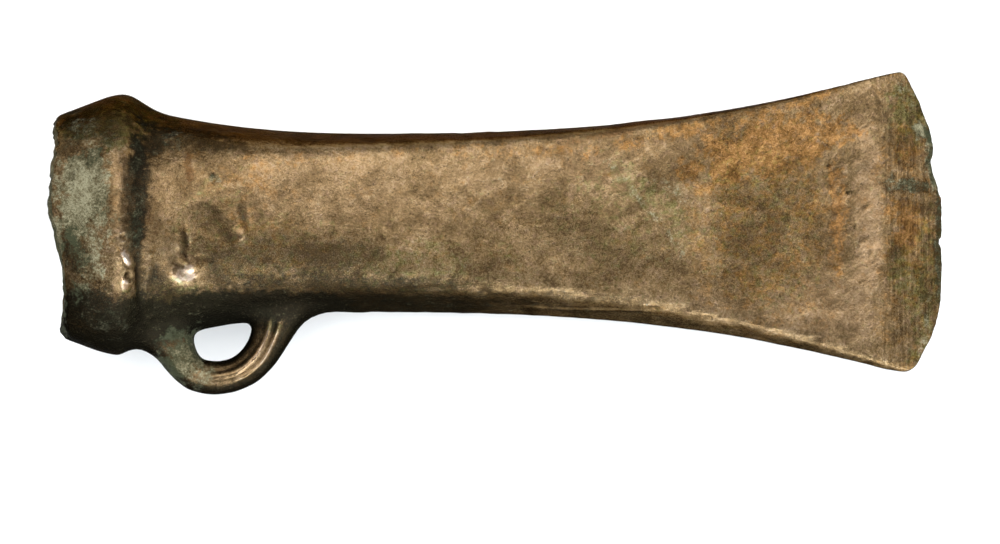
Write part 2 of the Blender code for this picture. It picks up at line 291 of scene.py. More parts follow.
def outer_point(angle, along):
    """A point on the outside of the head, for a cross-section at a distance from the mouth."""
    across = math.cos(angle)
    bowed = max((along - BLADE_AT) / (LENGTH - BLADE_AT), 0) ** BOW_CURVE
    to_edge = LENGTH - along
    width = half_width(along - bowed * edge_drop(math.copysign(1, across)))
    width -= corner_cut(to_edge, CORNER_ROUNDING_FAR_SIDE if across > 0 else CORNER_ROUNDING_LOOP_SIDE)
    far = smooth_step(across + 0.5)
    square_from = LOOP_SIDE_SQUARE_FROM + (FAR_SIDE_SQUARE_FROM - LOOP_SIDE_SQUARE_FROM) * far
    squared = rising(along, ROUND_UNTIL, square_from - ROUND_UNTIL)
    squareness = MOUTH_SQUARENESS + (BLADE_SQUARENESS - MOUTH_SQUARENESS) * squared
    draft = side_draft(LOOP_SIDE_DRAFT, along)
    draft += (side_draft(FAR_SIDE_DRAFT, along) - draft) * far
    draft = MOUTH_DRAFT + (draft - MOUTH_DRAFT) * smooth_step(along / NECK_AT)
    y, z = section_point(angle, width, half_depth(along), squareness, draft)
    if z > 0:
        z *= 1 - FACE_CROWN * squared * (y / width) ** 2
    x = along - bowed * edge_drop(y / width)
    x += rim_chip(angle) * fading(along, RIM_CHIP_REACH)
    if along > NECK_AT:
        on_seam = max(-across, 0) ** LOOP_PAD["narrowness"]
        y -= LOOP_PAD["height"] * bump(along - LOOP_PAD["at"], LOOP_PAD["spread"]) * on_seam
    return Vector((x, y + sideways(along), z))


def socket_point(angle, along):
    """A point on the wall of the socket."""
    share = along / SOCKET_DEPTH
    width = SOCKET_MOUTH[0] + (SOCKET_FLOOR[0] - SOCKET_MOUTH[0]) * share
    depth = SOCKET_MOUTH[1] + (SOCKET_FLOOR[1] - SOCKET_MOUTH[1]) * share**SOCKET_CURVE
    y, z = section_point(angle, width, depth, SOCKET_SQUARENESS, 0)
    x = along + rim_chip(angle) * fading(along, RIM_CHIP_REACH)
    return Vector((x, y + sideways(along), z))


def lip_point(angle, share):
    """A point on the rounded rim, at a share of the way from the socket's wall to the outside."""
    inner, outer = socket_point(angle, 0), outer_point(angle, 0)
    wall = (outer - inner).length
    into_rounding = LIP_ROUNDING - wall * min(share, 1 - share)
    drop = LIP_ROUNDING - math.sqrt(LIP_ROUNDING**2 - into_rounding**2) if into_rounding > 0 else 0
    return inner.lerp(outer, share) + Vector((drop, 0, 0))


def column_angles():
    """The directions of the mesh's columns, walked round a square from the side away from the loop."""
    walk = [(1, up) for up in spread(0, 1, UPPER_SIDE_COLUMNS)]
    walk += [(across, 1) for across in spread(1, -1, UPPER_FACE_COLUMNS)]
    walk += [(-1, up) for up in spread(1, 0, UPPER_SIDE_COLUMNS)]
    walk += [(-1, up) for up in spread(0, -1, LOWER_SIDE_COLUMNS)]
    walk += [(across, -1) for across in spread(-1, 1, LOWER_FACE_COLUMNS)]
    walk += [(1, up) for up in spread(-1, 0, LOWER_SIDE_COLUMNS)]
    return [math.atan2(up, across) % (2 * math.pi) for across, up in walk]


def rings():
    """(surface, place on it) of every ring, from the socket's floor, out of the mouth and along the
    outside to the cutting edge."""
    (first_start, first_end), (last_start, last_end) = LOOP_ROOTS
    corner_at = LENGTH - max(CORNER_ROUNDING_FAR_SIDE, CORNER_ROUNDING_LOOP_SIDE)
    outside = (
        spread(LIP_ROUNDING, first_start, MOULDING_RINGS)
        + spread(first_start, first_end, LOOP_ROOT_STEPS)
        + spread(first_end, last_start, LOOP_HOLE_RINGS)
        + spread(last_start, last_end, LOOP_ROOT_STEPS)
        + spread(last_end, BLADE_AT, BODY_RINGS)
        + spread(BLADE_AT, SHOULDER_AT, BLADE_RINGS)
        + spread(SHOULDER_AT, corner_at, BEVEL_RINGS)
        + spread(corner_at, LENGTH - LAST_RING, CORNER_RINGS)
        + [LENGTH]
    )
    return (
        [(socket_point, along) for along in spread(SOCKET_DEPTH, LIP_ROUNDING, SOCKET_RINGS)]
        + [(lip_point, share) for share in spread(0, 1, LIP_RINGS)]
        + [(outer_point, along) for along in [LIP_ROUNDING] + outside]
    )


def extruded(bm, ring):
    """A copy of a ring of edges, joined to it by new faces."""
    made = bmesh.ops.extrude_edge_only(bm, edges=ring)["geom"]
    return [edge for edge in made if isinstance(edge, bmesh.types.BMEdge) and len(edge.link_faces) == 1]


def verts_of(ring):
    return {vert for edge in ring for vert in edge.verts}


def layer_of(bm, name):
    """What is marked on each point under a name."""
    return bm.verts.layers.float[name]


def make_body(bm):
    """The socket, the lip and the outside as one skin, extruded ring by ring and closed at the edge."""
    angle_of = bm.verts.layers.float.new("angle")
    outside_at = bm.verts.layers.float.new("outside_at")
    angles = column_angles()
    floor = bmesh.ops.create_circle(bm, cap_ends=True, radius=1, segments=len(angles))["verts"]
    for angle, vert in zip(angles, floor):
        vert[angle_of] = angle
        vert.co = socket_point(angle, SOCKET_DEPTH)
    ring = bm.edges[:]
    for surface, along in rings():
        ring = extruded(bm, ring)
        for vert in verts_of(ring):
            vert.co = surface(vert[angle_of], along)
            vert[outside_at] = along if surface is outer_point else 0
    lower = [edge for edge in ring if all(vert[angle_of] > math.pi + SEAM_SLACK for vert in edge.verts)]
    upper = [edge for edge in ring if all(vert[angle_of] < math.pi + SEAM_SLACK for vert in edge.verts)]
    bmesh.ops.bridge_loops(bm, edges=upper + lower)


def cut_root(bm, start, end):
    """Opens the body's side at one root of the loop, and returns the opening's edges."""
    angle_of = layer_of(bm, "angle")
    outside_at = layer_of(bm, "outside_at")
    near = {
        vert
        for vert in bm.verts
        if start - TOUCH < vert[outside_at] < end + TOUCH
        and abs(vert[angle_of] - math.pi) < LOOP_ROOT_SPAN
    }
    patch = {face for face in bm.faces if near.issuperset(face.verts)}
    rim = [edge for face in patch for edge in face.edges if not patch.issuperset(edge.link_faces)]
    bmesh.ops.delete(bm, geom=list(patch), context="FACES")
    return rim


def loop_stations():
    """(centre, direction towards the hole, growth) along the loop, from one root to the other."""
    first = interpolate_bezier(*LOOP_START, *LOOP_FOOT[:2], LOOP_STEPS + 1)
    second = interpolate_bezier(*LOOP_FOOT[1:], *LOOP_END, LOOP_STEPS + 1)
    centres = first[:-1] + second
    stations = []
    for number in range(1, len(centres) - 1):
        ahead = (centres[number + 1] - centres[number - 1]).normalized()
        to_root = abs(2 * number / (len(centres) - 1) - 1)
        stations.append((centres[number], Vector((-ahead.y, ahead.x, 0)), to_root**LOOP_ROOT_SHORTNESS))
    return stations


def make_loop(bm):
    """The side loop, extruded out of the body at one root, round the hole and into the other root."""
    around = bm.verts.layers.float.new("around")
    loop_at = bm.verts.layers.float.new("loop_at")
    facing = bm.verts.layers.float.new("facing")  # 1 towards the hole, -1 away from it
    on_loop = bm.verts.layers.float.new("on_loop")
    first_root = cut_root(bm, *LOOP_ROOTS[0])
    other_root = cut_root(bm, *LOOP_ROOTS[1])
    middle = sum(LOOP_ROOTS[0]) / 2
    length = (LOOP_ROOTS[0][1] - LOOP_ROOTS[0][0]) / 2
    height = max(vert.co.z for vert in verts_of(first_root))
    for vert in verts_of(first_root):
        vert[around] = math.atan2(vert.co.z / height, (vert.co.x - middle) / length)
    ring = first_root
    stations = loop_stations()
    for number, (centre, inwards, growth) in enumerate(stations):
        ring = extruded(bm, ring)
        thickness = LOOP_HALF_THICKNESS * (1 + (LOOP_ROOT_GROWTH[0] - 1) * growth)
        breadth = LOOP_HALF_BREADTH * (1 + (LOOP_ROOT_GROWTH[1] - 1) * growth)
        for vert in verts_of(ring):
            up = math.sin(vert[around])
            vert[facing] = math.cos(vert[around])
            vert.co = centre + inwards * thickness * (math.cos(vert[around]) + LOOP_CREST_LEAN * up * up)
            vert.co.z = breadth * up
            vert[loop_at] = (number + 1) / len(stations)
            vert[on_loop] = 1
    bmesh.ops.bridge_loops(bm, edges=ring + other_root)
    round_roots(bm, verts_of(first_root + other_root))


def round_roots(bm, verts):
    """Smooths the points at and near the loop's roots into fillets."""
    for _ in range(FILLET_REACH):
        verts = {edge.other_vert(vert) for vert in verts for edge in vert.link_edges} | verts
    smooth(bm, verts, FILLET_PASSES)


def smooth(bm, verts, passes):
    for _ in range(passes):
        bmesh.ops.smooth_vert(
            bm, verts=list(verts), factor=0.5, use_axis_x=True, use_axis_y=True, use_axis_z=True
        )


def by_loop(point):
    """Whether a point is on the upper side of the loop or right beside it."""
    return point.z > 0 and any(start < point.x < end and point.y < -out for start, end, out in FINE_BY_LOOP)


def refine(bm):
    """Cuts the upper face, the top of the loop and the cutting edge finer, for the wear on them."""
    outside_at = layer_of(bm, "outside_at")
    upper = {
        face
        for face in bm.faces
        if all(
            vert[outside_at] > 0 and vert.co.z > SIDE_LEFT_COARSE * half_depth(vert[outside_at])
            or by_loop(vert.co)
            or vert[outside_at] > LENGTH - EDGE_CUT_FINE
            for vert in face.verts
        )
    }
    edges = list({edge for face in upper for edge in face.edges})
    bmesh.ops.subdivide_edges(bm, edges=edges, cuts=UPPER_FACE_CUTS, use_grid_fill=True)


def lay_down(bm):
    """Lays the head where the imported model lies, by its haft seat, and flattens it where it rests."""
    seat = next(mount for mount in frame["record"]["mounts"] if mount["name"] == "haft_seat")
    out_of_mouth = Vector(seat["axis"])
    mouth = Vector(seat["pos_m"]) + out_of_mouth * SOCKET_DEPTH
    mouth.y -= sideways(SOCKET_DEPTH)
    tilt = math.atan2(out_of_mouth.z, -out_of_mouth.x)
    bmesh.ops.rotate(bm, verts=bm.verts, cent=(0, 0, 0), matrix=Matrix.Rotation(tilt, 3, "Y"))
    bmesh.ops.translate(bm, verts=bm.verts, vec=mouth)
    for vert in bm.verts:
        vert.co.z = max(vert.co.z, 0)


def dent(at, size, depth, turn=0, burr=0):
    """A dent in the upper face, in millimetres: where along and across it, its half sizes, how deep
    (less than 0 is raised), how far turned in degrees, and how high a burr stands round it."""
    return {"at": at, "size": size, "depth": depth, "turn": turn, "burr": burr}


def stained(at, size, strength, turn=0, blur=0.8, ragged=1):
    """A stained or worn place, given in the same way: how strong it is, how wide its border is blurred,
    as a share of its half size, and how ragged that border is."""
    return {"at": at, "size": size, "strength": strength, "turn": turn, "blur": blur, "ragged": ragged}


# Dents, pits and ridges in the upper face.
DENTS = (
    dent((5.0, 0), (3.4, 18), 0.2),  # the moulding's hollow bevel
    dent((1.3, -5), (1.2, 8), 0.3),  # where its rim is broken
    dent((11.0, 1), (1.7, 18), -0.18),  # its crest
    dent((13.2, 4), (1.5, 12), 0.34),  # the groove behind it
    dent((13.5, -8), (0.6, 4.5), 0.35),
    dent((3.2, 7.2), (1.0, 0.7), 0.2, turn=30, burr=0.08),
    dent((11.3, -1.9), (0.6, 0.6), 0.2, burr=0.1),
    dent((11.7, -5.2), (0.35, 1.2), -0.26, turn=25),
    dent((12.0, -7.8), (0.75, 0.8), 0.26, burr=0.14),
    dent((14.8, -6.0), (0.8, 1.9), -0.18),
    dent((17.2, 3), (2.4, 7), -0.1),  # a swelling behind the groove
    dent((19.9, -3.4), (0.6, 2.2), 0.26),  # the curved dip above the loop
    dent((19.9, -4.9), (0.5, 1.3), 0.24, turn=35),
    dent((22.8, -5.3), (1.5, 0.5), 0.24, turn=-15),
    dent((20.6, -6.4), (2.2, 1.8), -0.66, turn=-8),
    dent((20.7, -1.7), (0.8, 1.5), -0.18, turn=15),
    dent((23.7, 0.4), (2.9, 2.2), 0.46, turn=-35, burr=0.06),  # a blow
    dent((26.3, -1.9), (1.9, 1.1), 0.16, turn=-40),
    dent((28.3, -1.7), (1.0, 1.5), -0.28, turn=25),
    dent((28.7, 1.5), (0.7, 1.9), 0.22, turn=10),
    dent((24.3, 7.1), (0.6, 0.45), 0.12, turn=-30),
    dent((20.8, 7.0), (0.3, 4.2), 0.1, turn=6),
    dent((46, 2), (9, 5), 0.06, turn=10),
    dent((60.5, -5.9), (0.8, 0.6), 0.08, turn=20),
    dent((66, 3), (6, 7), 0.05, turn=25),
    dent((72.0, -4.5), (1.6, 0.7), 0.07, turn=-30),
    dent((88.2, 2.6), (11, 0.8), 0.05, turn=-51),  # long hammer marks
    dent((91.5, 5.6), (4.4, 1.2), 0.06, turn=-42),
    dent((97, -7.0), (2.0, 1.2), -0.08, turn=25),
    dent((98.5, -8.8), (2.4, 0.8), 0.1, turn=25),
    dent((107, -1.5), (7, 7), 0.08, turn=10),
    dent((107.5, -5.5), (0.8, 0.4), -0.1, turn=20),
    dent((109.5, -9.4), (1.6, 0.6), 0.08, turn=-10),
    dent((115.7, 8.6), (0.4, 0.35), 0.14),
    dent((116.2, 5.4), (0.5, 0.35), 0.14, turn=70),
    dent((118.6, 4.6), (0.4, 0.35), 0.16),
    dent((121.2, 2.4), (0.7, 0.3), 0.12, turn=40),
    dent((120.8, -2.6), (0.8, 0.4), 0.1, turn=20),
    dent((122.0, -4.4), (0.4, 0.7), 0.1),
    dent((129.4, 14.0), (0.7, 1.2), -0.1, turn=15),
    dent((130.2, -14.6), (0.6, 0.8), -0.08),
    dent((76, -12.7), (15, 0.25), -0.14, turn=-1.5),  # what is left of the mould's seam
)
# Unevenness of the casting: (size of each swelling, height), in millimetres.
UNEVEN = ((7, 0.1), (2.6, 0.05), (1.1, 0.03))
# Fine lines and ridges round the upper side of the loop: where they lie between its hole at 1 and its
# outside at -1, how wide, how deep in millimetres (less than 0 is raised), and where they start and
# end between its first root at 0 and its second at 1. Each sets in and fades within LINE_FADE.
LINE_FADE = 0.125
LOOP_LINES = (
    {"at": 0.48, "width": 0.13, "depth": 0.12, "from": 0.4, "to": 0.95},
    {"at": 0.1, "width": 0.17, "depth": -0.24, "from": 0.45, "to": 1.15},
    {"at": -0.14, "width": 0.09, "depth": 0.22, "from": 0.66, "to": 1.1},
    {"at": -0.38, "width": 0.12, "depth": -0.22, "from": 0.6, "to": 1.15},
)

# Stains and worn places on the upper face, by what they are. The soot also holds painted shade, on the
# lower half of the face, at the loop's roots and over reflections that it darkens; the rubbed places also
# hold painted highlights, on bumps, ridges and borders.
STAINS = {
    "verdigris": (
        stained((5.2, 4.4), (4.8, 8.0), 0.95),
        stained((1.0, -6.0), (1.3, 8.5), 1.1),
        stained((6.0, -3.5), (3.4, 7.0), 0.62),
        stained((8.0, -13), (3.4, 4.0), 0.3),
        stained((13.2, 6.5), (1.2, 9), 0.32),
        stained((13.0, -1.0), (1.0, 2.5), 0.45),
        stained((6.0, 12.4), (4.6, 2.8), 0.4),
        stained((17, 12.2), (3.0, 1.6), 0.35),
        stained((24.6, 6.6), (0.9, 0.8), 0.5),
        stained((18.4, -20.2), (3.4, 5.0), 0.8, turn=-45),
        stained((22.4, -23.6), (1.6, 2.2), 0.6, turn=-20),
        stained((52, -4), (5, 3), 0.15, turn=10),
        stained((88.2, 2.6), (11, 0.7), 0.4, turn=-51),
        stained((91.5, 5.6), (4.4, 1.2), 0.28, turn=-42),
        stained((72, 7), (9, 3), 0.12),
        stained((61.5, -6.3), (0.9, 0.8), 0.4),
        stained((131.4, 10), (1.0, 7.5), 0.7, turn=8),
        stained((132.2, -3.5), (0.6, 8.0), 0.5),
        stained((130.3, -15), (0.9, 5.5), 0.35, turn=-8),
        stained((129.4, 14.0), (0.9, 1.5), 1.0, turn=15),
        stained((130.4, -14.2), (0.6, 1.0), 0.7),
        stained((127.4, 6.0), (3.6, 1.3), 0.55, turn=-8),
        stained((127.6, 19.5), (2.0, 2.0), 0.35),
    ),
    "gilt": (
        stained((21.0, 10.2), (1.4, 1.4), 0.3),
        stained((29, 6.2), (5.5, 3.0), 0.22, turn=-10),
        stained((33, 4.4), (4.0, 1.4), 0.25, turn=-12),
        stained((31, -4), (12, 6), 0.28),
        stained((36, 9.6), (10, 1.2), 0.25),
        stained((66, 10.8), (16, 1.1), 0.35),
        stained((92, 13.4), (14, 1.4), 0.6, turn=12),
        stained((109, 17.5), (12, 1.2), 0.6, turn=20),
        stained((106.5, 11.4), (11, 4.2), 1.3, turn=14, blur=0.6),
        stained((104, 15), (7, 2.2), 0.6, turn=16),
        stained((98, 4.5), (3.0, 3.0), 0.5),
        stained((106, 0), (11.5, 16), 0.45),
        stained((128, 0), (5, 24), 0.4),
        stained((117.0, 1.1), (1.6, 9.5), 0.8, blur=0.5),
        stained((127.6, -0.8), (2.6, 5.6), 1.2, blur=0.5),
        stained((127.2, 11.5), (2.2, 4.5), 0.6, turn=8),
    ),
    "olive": (
        stained((24, 0), (7, 8), 0.25),
        stained((32, -4), (12, 6), 0.36),
        stained((54, -6.5), (16, 4.0), 0.4),
        stained((84, 0), (12, 9.0), 0.3, turn=-12),
        stained((88.5, 4.5), (10, 2.0), 0.55, turn=-45),
        stained((106, 0), (10, 14), 0.36, turn=10),
        stained((9, 15), (9, 4), 0.7),
        stained((20, -13), (14, 4), 0.7),
        stained((128, 16.5), (3.4, 5), 0.8),
        stained((126.5, -6.5), (2, 4), 0.7),
        stained((130, -10), (3, 12), 0.6),
    ),
    # Soot in the groove and hollows, and painted shade: the lower half of the face, the loop's roots, and
    # places whose reflections it darkens.
    "soot_and_shade": (
        stained((49, -9.4), (18, 2.0), 0.8, blur=1.1, ragged=0.5),
        stained((68, -11.2), (19, 1.6), 0.6, turn=-1),
        stained((110, -8.5), (5, 3.5), 0.34, turn=-10, blur=0.4),
        stained((101.5, 4), (4.2, 3.4), 0.36, blur=0.4),
        stained((69, -2), (7, 3.6), 0.26, blur=0.5),
        stained((87, -2), (5, 3.4), 0.2, blur=0.4),
        stained((128, 18), (3, 3), 0.3),
        stained((128, 9), (3, 2.0), 0.25),
        stained((128, -13.5), (3.4, 4.5), 0.34),
        stained((3.4, 11), (3.6, 2.8), 0.55),
        stained((17.2, 2), (2.4, 4.5), 0.3),
        stained((13.3, 6.5), (1.9, 9.5), 1.15),
        stained((13.4, -3.0), (0.7, 5), 0.6),
        stained((13.6, -8.0), (0.6, 7), 0.8),
        stained((4.0, -4.6), (2.4, 4.0), 0.75, turn=10),
        stained((3.8, 7.6), (1.7, 1.6), 0.5),
        stained((6.5, 10.5), (2.4, 2.0), 0.4),
        stained((8, 14.5), (7, 3.4), 0.7),
        stained((15.5, 12.5), (3.2, 3.2), 0.9),
        stained((22, 12.4), (7, 2.0), 0.7, turn=-12),
        stained((7.0, -14.5), (9, 5.8), 1.1, ragged=0.5),
        stained((14, -15.5), (11, 5.8), 1.3, ragged=0.5),
        stained((17.5, -11.5), (7, 2.9), 0.9, blur=1.1, ragged=0.5),
        stained((28, -13.9), (17, 4.8), 1.4, ragged=0.4),
        stained((12.0, -7.8), (0.5, 0.55), 0.4),
        stained((23.4, 0.6), (3.6, 2.8), 0.55, turn=-35, blur=1.2),
        stained((26.3, -1.9), (2.2, 1.2), 0.6, turn=-40),
        stained((28.7, 1.4), (0.8, 2.2), 0.7, turn=10),
        stained((24.3, 7.2), (0.4, 0.35), 0.9),
        stained((19.9, -3.4), (0.7, 2.4), 0.7),
        stained((36, -6.5), (17, 6.4), 0.62),
        stained((15.9, -8.6), (3.2, 3.7), 0.85, blur=1.4, ragged=0.5),
        stained((16.6, -4.0), (2.4, 3.0), 0.4, blur=1.1),
        stained((25.2, -7.8), (3.4, 2.8), 0.7, blur=1.5, ragged=0.5),
        stained((38, -12.2), (9, 2.6), 1.1, ragged=0.4),
        stained((38, -9.4), (18, 2.6), 0.8),
        stained((26, 2), (20, 14), 0.28),
        stained((17.5, 3), (4.5, 9), 0.36),
        stained((11, 3), (2, 9), 0.2),
        stained((48, -12.3), (24, 3.4), 0.84, turn=-1, ragged=0.4),
        stained((62, -7), (22, 4.0), 0.34, turn=-4),
        stained((78.5, -1), (4.5, 6), 0.34, blur=0.3),
        stained((88, -6), (7, 4), 0.36, turn=-20, blur=0.3),
        stained((90, 6.2), (3.4, 2.2), 0.26, turn=-35, blur=0.3),
        stained((84, -12.8), (16, 1.6), 0.4, turn=-6),
        stained((110, -17.0), (12, 1.3), 0.5, turn=-14, ragged=0.5),
        stained((106.5, -0.5), (9.0, 8.5), 0.34, turn=10, blur=0.3),
        stained((104, 13), (12, 4.0), 0.34, turn=14, blur=1.0),
        stained((62, -11.2), (17, 1.5), 0.7),
        stained((100, -10), (5.0, 3.0), 0.4, turn=-10),
        stained((115.7, 8.6), (0.35, 0.35), 0.85),
        stained((116.2, 5.4), (0.35, 0.35), 0.8),
        stained((118.6, 4.6), (0.5, 0.35), 0.9),
        stained((121.2, 2.4), (0.8, 0.4), 0.8, turn=40),
        stained((119.6, -0.4), (0.5, 0.4), 0.8, turn=20),
        stained((120.8, -2.6), (0.9, 0.5), 0.7, turn=20),
        stained((127.4, 6.0), (3.8, 1.5), 0.8, turn=-8),
        stained((126, -4.5), (1.4, 3.0), 0.5),
        stained((131.7, 10), (1.0, 8.0), 0.9, turn=8),
        stained((132.2, -4), (0.6, 9.0), 0.7),
    ),
    "rust": (
        stained((20.8, 8.0), (0.7, 3.4), 0.8, turn=6),
        stained((20.2, 4.0), (0.4, 2.6), 0.5),
        stained((15.0, -1.0), (2.4, 3.4), 0.45),
        stained((17, -10.5), (4, 1.8), 0.5),
        stained((10, -11.5), (1.6, 2.2), 0.6),
        stained((8, 15), (5, 2.6), 0.5),
        stained((24, -9.6), (4, 1.0), 0.4),
        stained((90, 15.2), (18, 0.9), 0.7, turn=14),
        stained((60, 12.8), (20, 0.6), 0.6),
        stained((128.0, -0.5), (2.4, 5.5), 0.4),
        stained((128.3, 12), (1.2, 3.5), 0.5, turn=8),
        stained((103, -2), (3, 3), 0.35, turn=20),
    ),
    # Rubbed metal, and painted highlights: the bright spots on bumps and ridges and the light patches along
    # the borders are painted pale here.
    "rubbed_and_highlit": (
        stained((117.0, 1.1), (1.5, 9.2), 0.5, blur=0.5),
        stained((108, 12), (11, 2.8), 0.22, turn=14),
        stained((106, -14), (12, 4), 0.35, turn=-12),
        stained((66, 8), (12, 4.0), 0.3),
        stained((84, 10.5), (14, 2.4), 0.3, turn=4),
        stained((11.1, 4), (1.6, 9), 0.36),
        stained((11.6, -5.0), (0.6, 1.6), 1.0, turn=25),
        stained((11.4, -8.8), (0.7, 1.4), 0.9, turn=-30),
        stained((17.2, 5), (2.6, 5.5), 0.22),
        stained((20.4, -7.3), (2.0, 1.7), 0.98, turn=-8),
        stained((19.4, -5.4), (3.0, 3.2), 0.25),
        stained((14.7, -4.8), (0.6, 1.7), 0.35),
        stained((28.3, -1.9), (0.9, 1.5), 0.7, turn=25),
        stained((40, 5), (22, 6.0), 0.3),
        stained((121.4, -1), (2.3, 17), 0.55),
        stained((113, -17.2), (9, 1.9), 0.2, turn=-14),
        stained((116, -12), (8, 5), 0.5),
        stained((80, 8), (8, 3.4), 0.5),
    ),
}
DENT_REACH = 1.9  # in half sizes, past which a dent isn't felt
DENT_FALL = 1.4  # how fast its floor rises outwards
DENT_FLATNESS = 2.4  # and how flat it is in the middle
BURR_AT = 1.15  # in half sizes
BURR_WIDTH = 0.3

# The small blows along the lower border: their sizes in millimetres, each with how much it varies.
NIBBLES = 44
NIBBLES_FROM = 50 * MM
NIBBLES_SHALLOW_FROM = 92 * MM
NIBBLES_SHALLOWING = 15 * MM
NIBBLE_WANDER = (1, 0.5)
NIBBLE_LENGTH = (1.0, 0.8)
NIBBLE_WIDTH = (0.55, 0.3)
NIBBLE_DEPTH = (0.35, 0.2)  # and how much shallower it gets towards the bevel
NIBBLE_TURN = 12
NIBBLE_SEEDS = (0.5, 10.5, 20.5)

# How ragged a stain's border is: how close together its tears are, the most that they reach in half
# sizes, and how far they reach in millimetres.
TORN_FINE = (900, 0.5, 1.5)
TORN_COARSE = (230, 0.5, 2.0)
STAIN_REACH = 1.6  # in half sizes
STAIN_SIZE = 0.95  # where its border is half faded, in half sizes
RIM_BREAK_REACH = 4 * MM
RIM_BREAK_SIZE = 1.4 * MM
RIM_BREAK_DEPTH = 0.35 * MM
CURVE_SCALE = 1.2 * MM  # how sharp a curve counts in full
CURVE_PASSES = 2
SIDE_SHADE_FADE = 0.45  # how much less painted shade the narrow sides get near the faces than at the seam


def in_feature(vert, feature):
    """How far a point lies from a feature's middle, as a share of the feature's half size."""
    away = vert.co.xy - Vector(feature["at"]) * MM
    turn = math.radians(feature["turn"])
    along = away.x * math.cos(turn) + away.y * math.sin(turn)
    across = away.y * math.cos(turn) - away.x * math.sin(turn)
    return math.hypot(along / feature["size"][0], across / feature["size"][1]) / MM


def plan_of(verts):
    """A search tree of points as seen from above."""
    found = KDTree(len(verts))
    for number, vert in enumerate(verts):
        found.insert((vert.co.x, vert.co.y, 0), number)
    found.balance()
    return found


def near_feature(tree, verts, feature, reach):
    """The points round a feature, out to a reach in its larger half size."""
    at = Vector(feature["at"]) * MM
    size = max(feature["size"]) * MM
    return [verts[index] for _, index, _ in tree.find_range((at.x, at.y, 0), size * reach)]


def press(verts, dents):
    """Presses dents into the upper face, or raises ridges on it."""
    moves = {}
    tree = plan_of(verts)
    for blow in dents:
        for vert in near_feature(tree, verts, blow, DENT_REACH):
            away = in_feature(vert, blow)
            if away > DENT_REACH:
                continue
            height = -blow["depth"] * math.exp(-DENT_FALL * away**DENT_FLATNESS)
            height += blow["burr"] * bump(away - BURR_AT, BURR_WIDTH)
            moves[vert] = moves.get(vert, 0) + height * MM
    for vert, height in moves.items():
        vert.co += vert.normal * height


def nibbles():
    """Small blows along the lower border of the upper face, between the loop and the bevel."""
    dents = []
    for number in range(NIBBLES):
        along = NIBBLES_FROM + (SHOULDER_AT - NIBBLES_FROM) * (number + 0.5) / NIBBLES
        side = side_draft(LOOP_SIDE_DRAFT, along) * half_depth(along)
        border = sideways(along) - half_width(along) + side
        wander = [noise.noise((number * 3.7, seed, 0.5)) for seed in NIBBLE_SEEDS]
        at = (along / MM + NIBBLE_WANDER[0] * wander[0], border / MM + NIBBLE_WANDER[1] * wander[1])
        length = NIBBLE_LENGTH[0] + NIBBLE_LENGTH[1] * wander[2]
        width = NIBBLE_WIDTH[0] + NIBBLE_WIDTH[1] * wander[0]
        shallower = NIBBLE_DEPTH[1] * rising(along, NIBBLES_SHALLOW_FROM, NIBBLES_SHALLOWING)
        depth = (NIBBLE_DEPTH[0] - shallower) * wander[2]
        dents.append(dent(at, (length, width), depth, turn=NIBBLE_TURN * wander[1]))
    return dents


def mark_loop(bm, verts):
    """Works the fine lines round the upper side of the loop, darkens its borders with painted shade, clears
    green from its outside, and paints highlights on its crest and ridges as rubbed bare metal. Each place
    is given between the hole at 1 and the outside at -1 (across), and from the first root at 0 to the
    second at 1 (at)."""
    loop_at, facing, on_loop = layer_of(bm, "loop_at"), layer_of(bm, "facing"), layer_of(bm, "on_loop")
    soot_and_shade, rubbed_and_highlit, verdigris = layer_of(bm, "soot_and_shade"), layer_of(bm, "rubbed_and_highlit"), layer_of(bm, "verdigris")
    for vert in verts:
        share = vert[on_loop]
        if share < 0.01:
            continue
        at, across = vert[loop_at] / share, vert[facing] / share
        share *= smooth_step(vert.co.z / MM + 1)  # not on the lower side
        depth = sum(
            line["depth"] * bump(across - line["at"], line["width"])
            * rising(at, line["from"], LINE_FADE) * falling(at, line["to"], LINE_FADE)
            for line in LOOP_LINES
        )
        vert.co -= vert.normal * depth * share * MM
        # Painted shade on both borders, with the soot already there, most along the second limb.
        outside = rising(-across, 0.31, 0.28)
        second_limb = rising(at, 0.5, 0.2)
        inside = rising(across, 0.55, 0.35) * (0.3 + 0.6 * second_limb)
        inner_band = 0.4 * second_limb * rising(across, 0.25, 0.2)
        from_body = 1 - 0.7 * rising(at, 0, 0.15) * falling(at, 1.06, 0.12)
        soot_and_loop_shade = max(vert[soot_and_shade] * from_body, outside, inside, inner_band)
        vert[soot_and_shade] += (soot_and_loop_shade - vert[soot_and_shade]) * share
        vert[verdigris] *= 1 - 0.6 * outside * rising(at, 0.3, 0.2) * share
        # The crest, rubbed, with a painted highlight, more towards the second root.
        crest = 0.42 + 0.38 * rising(at, 0.74, 0.1)
        crest *= rising(at, 0.3, 0.2) * falling(at, 0.98, 0.16)
        vert[rubbed_and_highlit] = max(vert[rubbed_and_highlit], crest * bump(across + 0.05, 0.24) * share)
        # The two ridges that run on into the body there, bare with painted highlights, and free of soot and
        # painted shade.
        ridges = bump(across - 0.08, 0.1) + bump(across + 0.4, 0.09)
        ridges *= rising(at, 0.76, 0.08) * falling(at, 1.14, 0.1) * share
        vert[rubbed_and_highlit] = max(vert[rubbed_and_highlit], 0.95 * ridges)
        vert[soot_and_shade] *= 1 - ridges


def break_rim(verts):
    """Makes the mouth's rim ragged, as an old break is."""
    for vert in verts:
        if vert.co.x < RIM_BREAK_REACH:
            ragged = noise.fractal(vert.co / RIM_BREAK_SIZE, 0.8, 2, 3)
            vert.co.x += RIM_BREAK_DEPTH * ragged * fading(vert.co.x, RIM_BREAK_REACH)


